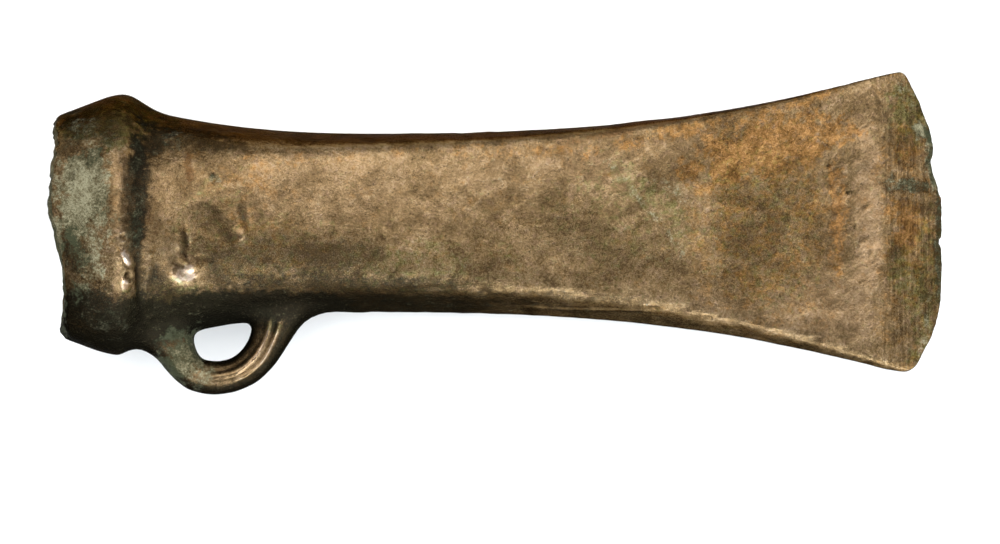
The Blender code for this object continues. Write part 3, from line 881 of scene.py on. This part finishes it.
def chip_edge(bm):
    """Knocks small chips out of the cutting edge."""
    outside_at = layer_of(bm, "outside_at")
    for vert in bm.verts:
        to_edge = LENGTH - vert[outside_at]
        if to_edge > max(chip["reach"] for chip in EDGE_CHIPS):
            continue
        for chip in EDGE_CHIPS:
            away = vert.co.y - chip["across"]
            vert.co.x -= chip["depth"] * bump(away, chip["spread"]) * fading(to_edge, chip["reach"])
        ragged = noise.fractal((vert.co.y * EDGE_RAGGED_CLOSENESS, 0.5, 0.5), 0.8, 2, 3)
        vert.co.x += EDGE_RAGGED * ragged * fading(to_edge, EDGE_CUT_FINE)


def make_uneven(verts):
    """Gives the upper face the low swellings of a casting."""
    for vert in verts:
        height = sum(
            tall * noise.fractal(vert.co / (size * MM), 0.8, 2, 2) for size, tall in UNEVEN
        )
        vert.co += vert.normal * height * MM


def feel_shape(bm):
    """Marks how far each point stands proud (over 0) or lies in a hollow, and how far it faces sideways,
    for the painted shade on the narrow sides.
    """
    curve, side = layer_of(bm, "curve"), layer_of(bm, "side")
    outside_at = layer_of(bm, "outside_at")
    found = {}
    for vert in bm.verts:
        around = [edge.other_vert(vert).co for edge in vert.link_edges]
        middle = sum(around, Vector()) / len(around)
        size = sum((point - vert.co).length for point in around) / len(around)
        found[vert] = (vert.co - middle).dot(vert.normal) * CURVE_SCALE / size**2
        up = abs(vert.co.z) / max(half_depth(vert[outside_at]), 1 * MM)
        # Painted shade on the narrow sides: by how far a point faces sideways, less near the faces.
        vert[side] = (1 - abs(vert.normal.z)) * (1 - SIDE_SHADE_FADE * rising(up, 0.2, 0.7))
    for _ in range(CURVE_PASSES):
        evened = {}
        for vert, value in found.items():
            around = [found[edge.other_vert(vert)] for edge in vert.link_edges]
            evened[vert] = (value + sum(around) / len(around)) / 2
        found = evened
    for vert, value in found.items():
        vert[curve] = min(max(value, -1), 1)


def stain(bm, verts):
    """Paints each kind of stain on the upper face, painted shade and painted highlights among them, with
    ragged borders, and some way down the sides.
    """
    outside_at = layer_of(bm, "outside_at")
    tree = plan_of(verts)
    for name, marks in STAINS.items():
        layer = layer_of(bm, name)
        for mark in marks:
            narrow, blur, torn = min(mark["size"]), mark["blur"], mark["ragged"]
            for vert in near_feature(tree, verts, mark, STAIN_REACH):
                ragged = noise.fractal(vert.co * TORN_FINE[0], 0.7, 2, 4)
                ragged = ragged * min(TORN_FINE[1], TORN_FINE[2] / narrow) * torn
                wander = noise.noise(vert.co * TORN_COARSE[0])
                wander = wander * min(TORN_COARSE[1], TORN_COARSE[2] / narrow) * torn
                outwards = (in_feature(vert, mark) + ragged + wander - STAIN_SIZE + blur / 2) / blur
                up = vert.co.z / half_depth(vert[outside_at])
                down_side = smooth_step((up + 0.9 + 0.4 * wander) / 0.8)  # gone near the lower face
                strength = mark["strength"] * (1 - smooth_step(outwards)) * down_side
                vert[layer] = max(vert[layer], strength)
    rubbed_and_highlit = layer_of(bm, "rubbed_and_highlit")
    for name in ("soot_and_shade", "rust"):
        layer = layer_of(bm, name)
        for vert in verts:
            vert[layer] *= 1 - min(vert[rubbed_and_highlit], 1)


bm = bmesh.new()
make_body(bm)
make_loop(bm)
bmesh.ops.recalc_face_normals(bm, faces=bm.faces)
mesh = bpy.data.meshes.new("axe_head_cast")
bm.to_mesh(mesh)
bm.free()
head = bpy.data.objects.new("axe_head_cast", mesh)
bpy.context.scene.collection.objects.link(head)
rounded = head.modifiers.new("rounded", "SUBSURF")
rounded.levels = rounded.render_levels = 1
bm = bmesh.new()
bm.from_object(head, bpy.context.evaluated_depsgraph_get())
head.modifiers.remove(rounded)
refine(bm)
for name in (*STAINS, "curve", "side"):
    bm.verts.layers.float.new(name)
outside_at, on_loop = layer_of(bm, "outside_at"), layer_of(bm, "on_loop")
upper = [
    vert
    for vert in bm.verts
    if vert[outside_at] > 0 and vert.co.z > UPPER_FROM
    or vert.co.x < RIM_BREAK_REACH and vert.co.z > SOCKET_MOUTH[1]
]
smooth(bm, upper, UPPER_SMOOTHING)
bm.normal_update()
outside = [
    vert
    for vert in bm.verts
    if vert[outside_at] > 0 or vert[on_loop] > 0 or vert.co.x < RIM_BREAK_REACH
]
stain(bm, outside)
mark_loop(bm, outside)
press(upper, [*DENTS, *nibbles()])
bm.normal_update()
make_uneven(upper)
break_rim(bm.verts)
chip_edge(bm)
bm.normal_update()
feel_shape(bm)
lay_down(bm)
bm.to_mesh(mesh)
bm.free()
mesh.shade_smooth()

# Patina colours, from the darkest hollow to rubbed metal. The darkest is also used for painted shade, and
# the palest for painted highlights.
SOOT_AND_SHADE = (0.010, 0.009, 0.006, 1)
DARK_BROWN = (0.050, 0.031, 0.014, 1)
BROWN = (0.102, 0.066, 0.030, 1)
TAN = (0.160, 0.106, 0.051, 1)
PALE_TAN = (0.27, 0.188, 0.102, 1)
BARE_METAL_AND_HIGHLIGHT = (0.45, 0.37, 0.26, 1)
RUST = (0.085, 0.036, 0.012, 1)
DARK_GREEN = (0.038, 0.042, 0.022, 1)
GREEN_GREY = (0.112, 0.099, 0.056, 1)
PALE_GREEN = (0.25, 0.24, 0.155, 1)
# Casts that a thin film gives the brown under it: they change its hue and leave it as light as it was.
GOLDEN = (1.17, 0.93, 0.64, 1)
GREENISH = (0.80, 1.03, 0.82, 1)
PINKISH = (1.01, 0.98, 1.1, 1)
# Painted shade on the narrow sides darkens what is under it, more on the loop's side than on the far side.
FAR_SIDE_SHADE = (0.40, 0.29, 0.14, 1)
LOOP_SIDE_SHADE = (0.27, 0.28, 0.28, 1)

bronze = bpy.data.materials.new("patinated_bronze")
bronze.use_nodes = True
tree = bronze.node_tree
shader = tree.nodes["Principled BSDF"]


def node(kind, **settings):
    made = tree.nodes.new(kind)
    for name, value in settings.items():
        setattr(made, name, value)
    return made


def join(made, inputs):
    """Sets or links a node's inputs, and returns its first output."""
    for name, value in inputs.items():
        if isinstance(value, bpy.types.NodeSocket):
            tree.links.new(value, made.inputs[name])
        else:
            made.inputs[name].default_value = value
    return made.outputs[0]


def grain(scale, detail, roughness=0.5, distortion=0, along=None):
    """A noise pattern, on the piece itself or along other coordinates."""
    made = node("ShaderNodeTexNoise")
    inputs = {"Scale": scale, "Detail": detail, "Roughness": roughness, "Distortion": distortion}
    return join(made, {"Vector": along or place, **inputs})


def calc(operation, a, b=0.0, c=0.0):
    return join(node("ShaderNodeMath", operation=operation), {0: a, 1: b, 2: c})


def between(value, low, high):
    """0 below low, 1 above high."""
    made = node("ShaderNodeMapRange", interpolation_type="SMOOTHSTEP")
    return join(made, {"Value": value, "From Min": low, "From Max": high})


def laid(share, under, over):
    """A colour laid over another, by a share."""
    made = node("ShaderNodeMix", data_type="RGBA")
    join(made, {0: share, 6: under, 7: over})
    return made.outputs[2]


def tinted(share, under, cast):
    """A colour multiplied by a cast, by a share."""
    made = node("ShaderNodeMix", data_type="RGBA", blend_type="MULTIPLY")
    join(made, {0: share, 6: under, 7: cast})
    return made.outputs[2]


def blended(share, under, over):
    made = node("ShaderNodeMix", data_type="FLOAT")
    join(made, {0: share, 2: under, 3: over})
    return made.outputs[0]


def worn(name):
    """What is marked on the mesh under a name."""
    return node("ShaderNodeAttribute", attribute_name=name).outputs["Fac"]


def centred(pattern):
    """A noise pattern brought round 0."""
    return calc("SUBTRACT", pattern, 0.5)


def summed(start, *parts):
    """start, with each pattern added to it by its weight."""
    for pattern, weight in parts:
        start = calc("MULTIPLY_ADD", pattern, weight, start)
    return start


def cover(value, low, high, most):
    """How much a layer hides what is under it: nothing below low, and its most above high."""
    return calc("MULTIPLY", between(value, low, high), most)


def off_scale(value, steps):
    """A colour read off a scale, which is given as (place on it, colour), from low to high."""
    made = node("ShaderNodeValToRGB")
    join(made, {"Fac": value})
    marks = made.color_ramp.elements
    marks[0].position, marks[0].color = steps[0]
    marks[1].position, marks[1].color = steps[-1]
    for position, colour in steps[1:-1]:
        marks.new(position).color = colour
    return made.outputs["Color"]


def scratches(turn):
    """Hair-fine scratches that all run one way."""
    turned = node("ShaderNodeMapping")
    join(turned, {"Vector": place, "Rotation": (0, 0, turn)})
    drawn = node("ShaderNodeMapping")
    join(drawn, {"Vector": turned.outputs[0], "Scale": (0.08, 1, 1)})
    return between(grain(2600, 2, 0.5, 0.3, drawn.outputs[0]), 0.6, 0.72)


# Patterns in the patina, from coarse to fine, by how close together they are.
place = node("ShaderNodeTexCoord").outputs["Object"]
cloud = grain(150, 6, 0.6, 0.8)
mottle = grain(620, 5, 0.6)
fleck = grain(1000, 4, 0.65, 0.4)
fine = grain(2700, 3, 0.6)
salt = grain(6200, 2, 0.5)
verdigris, gilt, olive = worn("verdigris"), worn("gilt"), worn("olive")
soot_and_shade, rubbed_and_highlit, rust = worn("soot_and_shade"), worn("rubbed_and_highlit"), worn("rust")
curve, side, outside_at = worn("curve"), worn("side"), worn("outside_at")
# The most rubbed places, painted pale as highlights.
polish_and_highlight = between(rubbed_and_highlit, 0.7, 1.0)
on_lip = between(outside_at, 0.3 * MM, 0.0)

# The ground bevel behind the edge keeps the fine lines of its whetstone, along the edge.
stretched = join(node("ShaderNodeMapping"), {"Vector": place, "Scale": (1, 0.05, 1)})
whetted = grain(3000, 4, 0.6, 0, stretched)
wavering = summed(outside_at, (centred(mottle), 3 * MM))
bevel = between(wavering, SHOULDER_AT - 0.5 * MM, SHOULDER_AT + 0.7 * MM)

# How light the brown is, from the darkest hollow at 0.2 to bare metal at 1: what changes it, and by how
# much.
blotch = calc("MULTIPLY", centred(between(grain(700, 5, 0.7, 0.5), 0.49, 0.55)), gilt)
gritty = calc("MULTIPLY", summed(0.38, (soot_and_shade, 1.3)), summed(1.0, (rubbed_and_highlit, -0.6)))
tone = summed(
    0.46,
    (centred(cloud), 0.4),
    (between(cloud, 0.46, 0.51), 0.075),
    (between(grain(380, 5, 0.65, 0.9), 0.58, 0.63), -0.05),
    (centred(mottle), summed(0.55, (rubbed_and_highlit, -0.4))),
    (blotch, 0.12),
    (centred(fine), summed(0.7, (rubbed_and_highlit, -0.4))),
    (centred(salt), gritty),
    (calc("MULTIPLY", centred(fine), 0.6), soot_and_shade),
    # Painted highlights: the rubbed places lighten the brown, and the polished ones most.
    (rubbed_and_highlit, 0.12),
    (polish_and_highlight, 0.26),
    # The soot darkens it, and so does the painted shade laid with the soot.
    (soot_and_shade, -0.2),
    (curve, 0.35),
    (bevel, -0.06),
    (calc("MAXIMUM", scratches(0.5), scratches(2.2)), 0.09),
)
streak = calc("MULTIPLY", centred(whetted), calc("MULTIPLY", bevel, 0.7))
tone = calc("ADD", tone, streak)
colour = off_scale(tone, ((0.2, DARK_BROWN), (0.4, BROWN), (0.56, TAN), (0.78, PALE_TAN), (1.0, BARE_METAL_AND_HIGHLIGHT)))

# The films over it: golden, olive, and the pinker metal where it is rubbed and where highlights are
# painted.
gilded = calc("ADD", gilt, calc("MULTIPLY", centred(fleck), 2.0))
gilded = summed(gilded, (centred(grain(300, 5, 0.65, 0.5)), 1.6), (blotch, 0.7))
colour = tinted(between(gilded, 0.05, 1.0), colour, GOLDEN)
filmed = summed(olive, (centred(grain(1100, 4, 0.6, 0.4)), 2.6))
colour = tinted(between(filmed, 0.15, 1.0), colour, GREENISH)
colour = tinted(calc("MAXIMUM", rubbed_and_highlit, between(fleck, 0.5, 0.34)), colour, PINKISH)

# Painted shade on the narrow sides, the rust-brown spots, and the soot in the hollows with painted shade
# laid in with it.
axes = node("ShaderNodeSeparateXYZ")
join(axes, {"Vector": place})
far_side = between(axes.outputs["Y"], -2 * MM, 2 * MM)
# The painted shade on the narrow sides, less where they stand proud.
side_shade = cover(summed(side, (curve, -0.25)), 0.18, 0.5, most=0.9)
colour = tinted(side_shade, colour, laid(far_side, LOOP_SIDE_SHADE, FAR_SIDE_SHADE))
rusted = calc("ADD", rust, calc("MULTIPLY", centred(fine), 1.4))
colour = laid(cover(rusted, 0.2, 1.0, most=0.65), colour, RUST)
# Soot, with painted shade on the lower face and the loop, laid on as near-black.
grime_and_shade = calc("ADD", soot_and_shade, calc("MULTIPLY", centred(mottle), 0.9))
grime_and_shade = summed(grime_and_shade, (centred(fine), 1.3))
colour = laid(cover(grime_and_shade, 0.25, 1.15, most=0.94), colour, SOOT_AND_SHADE)

# The green crust: where it lies, and how far it has grown from dark to pale.
crust = summed(
    calc("MULTIPLY", centred(mottle), 1.6),
    (verdigris, 1.35),
    (centred(fine), 1.5),
    (on_lip, summed(0.9, (soot_and_shade, -0.5))),
)
crust = cover(crust, 0.3, 1.15, most=0.92)
veins = calc("ABSOLUTE", centred(grain(480, 3, 0.5, 1.5)))
growth = summed(
    cloud,
    (centred(mottle), 0.9),
    (centred(fine), 0.9),
    (centred(salt), 0.8),
    (soot_and_shade, -0.4),
    (on_lip, -0.26),
    (between(verdigris, 0.8, 1.0), 0.14),
    (between(veins, 0.03, 0.0), 0.14),
)
green = off_scale(growth, ((0.25, DARK_GREEN), (0.5, GREEN_GREY), (0.85, PALE_GREEN)))
colour = laid(crust, colour, green)

# Pale specks and dark pits over everything.
specks = calc("ADD", grain(3300, 3, 0.5), calc("MULTIPLY", mottle, 0.4))
colour = laid(cover(specks, 0.8, 0.95, most=0.32), colour, GREEN_GREY)
colour = laid(cover(grain(3100, 2, 0.4, 1.0), 0.64, 0.7, most=0.55), colour, SOOT_AND_SHADE)
join(shader, {"Base Color": colour})

# Crust and dirt are dull, rubbed metal is smooth, and only the crust is no metal.
roughness = summed(
    blended(fine, 0.34, 0.5),
    (verdigris, 0.22),
    (soot_and_shade, 0.08),
    (rubbed_and_highlit, -0.14),
    (polish_and_highlight, 0.12),
    (curve, -0.12),
    (side_shade, 0.15),
    (on_lip, 0.2),
)
metal = summed(1.0, (crust, -0.8))
shader.inputs["Specular IOR Level"].default_value = 0.3
shader.inputs["Specular Tint"].default_value = (0.18, 0.19, 0.2, 1)  # keeps the turned-away sides dark
height = calc("ADD", summed(calc("MULTIPLY", salt, 0.45), (fine, 0.7)), mottle)
height = summed(height, (calc("MULTIPLY", whetted, bevel), 0.5))
height = calc("MULTIPLY", height, summed(1.0, (rubbed_and_highlit, -0.6)))
relief = node("ShaderNodeBump")
join(relief, {"Strength": 0.7, "Distance": 0.00015, "Height": height})
join(shader, {"Roughness": roughness, "Metallic": metal, "Normal": relief.outputs[0]})
mesh.materials.append(bronze)
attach(head, "root")
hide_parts("axe_head")


# ---------------------------------------------------------------------------------------------------
# The table: a plain sheet of pale paper that the head lies on. It is no part of the head.

TABLE_SIZE = 3.0
PAPER = (0.93, 0.93, 0.92, 1)
table = bpy.data.meshes.new("table")
bm = bmesh.new()
bmesh.ops.create_grid(bm, x_segments=1, y_segments=1, size=TABLE_SIZE)
bm.to_mesh(table)
bm.free()
floor = bpy.data.objects.new("table", table)
bpy.context.scene.collection.objects.link(floor)
paper = bpy.data.materials.new("pale_paper")
paper.use_nodes = True
paper_shader = paper.node_tree.nodes["Principled BSDF"]
paper_shader.inputs["Base Color"].default_value = PAPER
paper_shader.inputs["Roughness"].default_value = 0.9
paper_shader.inputs["Specular IOR Level"].default_value = 0.1
table.materials.append(paper)


# ---------------------------------------------------------------------------------------------------
# The lights: one broad soft box over the head and beyond it, a high fill over the table, a low strip on
# the loop's side, and a dim even surround.


def soft_box(name, place, target, width, height, power, colour=(1, 1, 1)):
    lamp = bpy.data.lights.new(name, "AREA")
    lamp.shape = "RECTANGLE"
    lamp.size = width
    lamp.size_y = height
    lamp.energy = power
    lamp.color = colour
    box = bpy.data.objects.new(name, lamp)
    bpy.context.scene.collection.objects.link(box)
    away = Vector(place) - Vector(target)
    box.matrix_world = Matrix.Translation(place) @ away.to_track_quat("Z", "Y").to_matrix().to_4x4()
    return box


soft_box("overhead_box", (0.12, 0.36, 0.62), (0.12, 0.36, 0), width=0.8, height=0.74, power=8.4)
fill = soft_box("high_fill", (0, 0, 1.5), (0, 0, 0), width=2.2, height=2.2, power=16.0)
fill.visible_glossy = False  # it only softens the shadow on the table
COOL_WHITE = (0.87, 0.935, 1.0)
soft_box("low_strip", (0.2, -0.48, 0.29), (0.04, 0, 0.01), 0.5, 0.05, power=5.2, colour=COOL_WHITE)
SURROUND = 0.15
world = bpy.data.worlds.new("studio")
world.use_nodes = True
world.node_tree.nodes["Background"].inputs["Color"].default_value = (1, 1, 1, 1)
world.node_tree.nodes["Background"].inputs["Strength"].default_value = SURROUND
bpy.context.scene.world = world
bpy.context.scene.view_settings.view_transform = "Standard"


# ---------------------------------------------------------------------------------------------------
# The camera: a long lens that looks down, square to the lying head's middle plane.

LENS = 200
SENSOR = 36
DISTANCE = 0.825
LEAN = 0.1462  # from the upright, towards the cutting edge
TARGET = Vector((0.0014, -0.0001, 0.0163))
SHIFT = (0.0055, -0.0385)  # the head lies a little above the middle of the frame

towards = Vector((math.sin(LEAN), 0, math.cos(LEAN)))
right = Vector((math.cos(LEAN), 0, -math.sin(LEAN)))
lens = bpy.data.cameras.new("camera")
lens.lens = LENS
lens.sensor_width = SENSOR
lens.shift_x, lens.shift_y = SHIFT
lens.clip_start = 0.01
camera = bpy.data.objects.new("camera", lens)
bpy.context.scene.collection.objects.link(camera)
turned = Matrix((right, Vector((0, 1, 0)), towards)).transposed().to_4x4()
camera.matrix_world = Matrix.Translation(TARGET + towards * DISTANCE) @ turned
bpy.context.scene.camera = camera
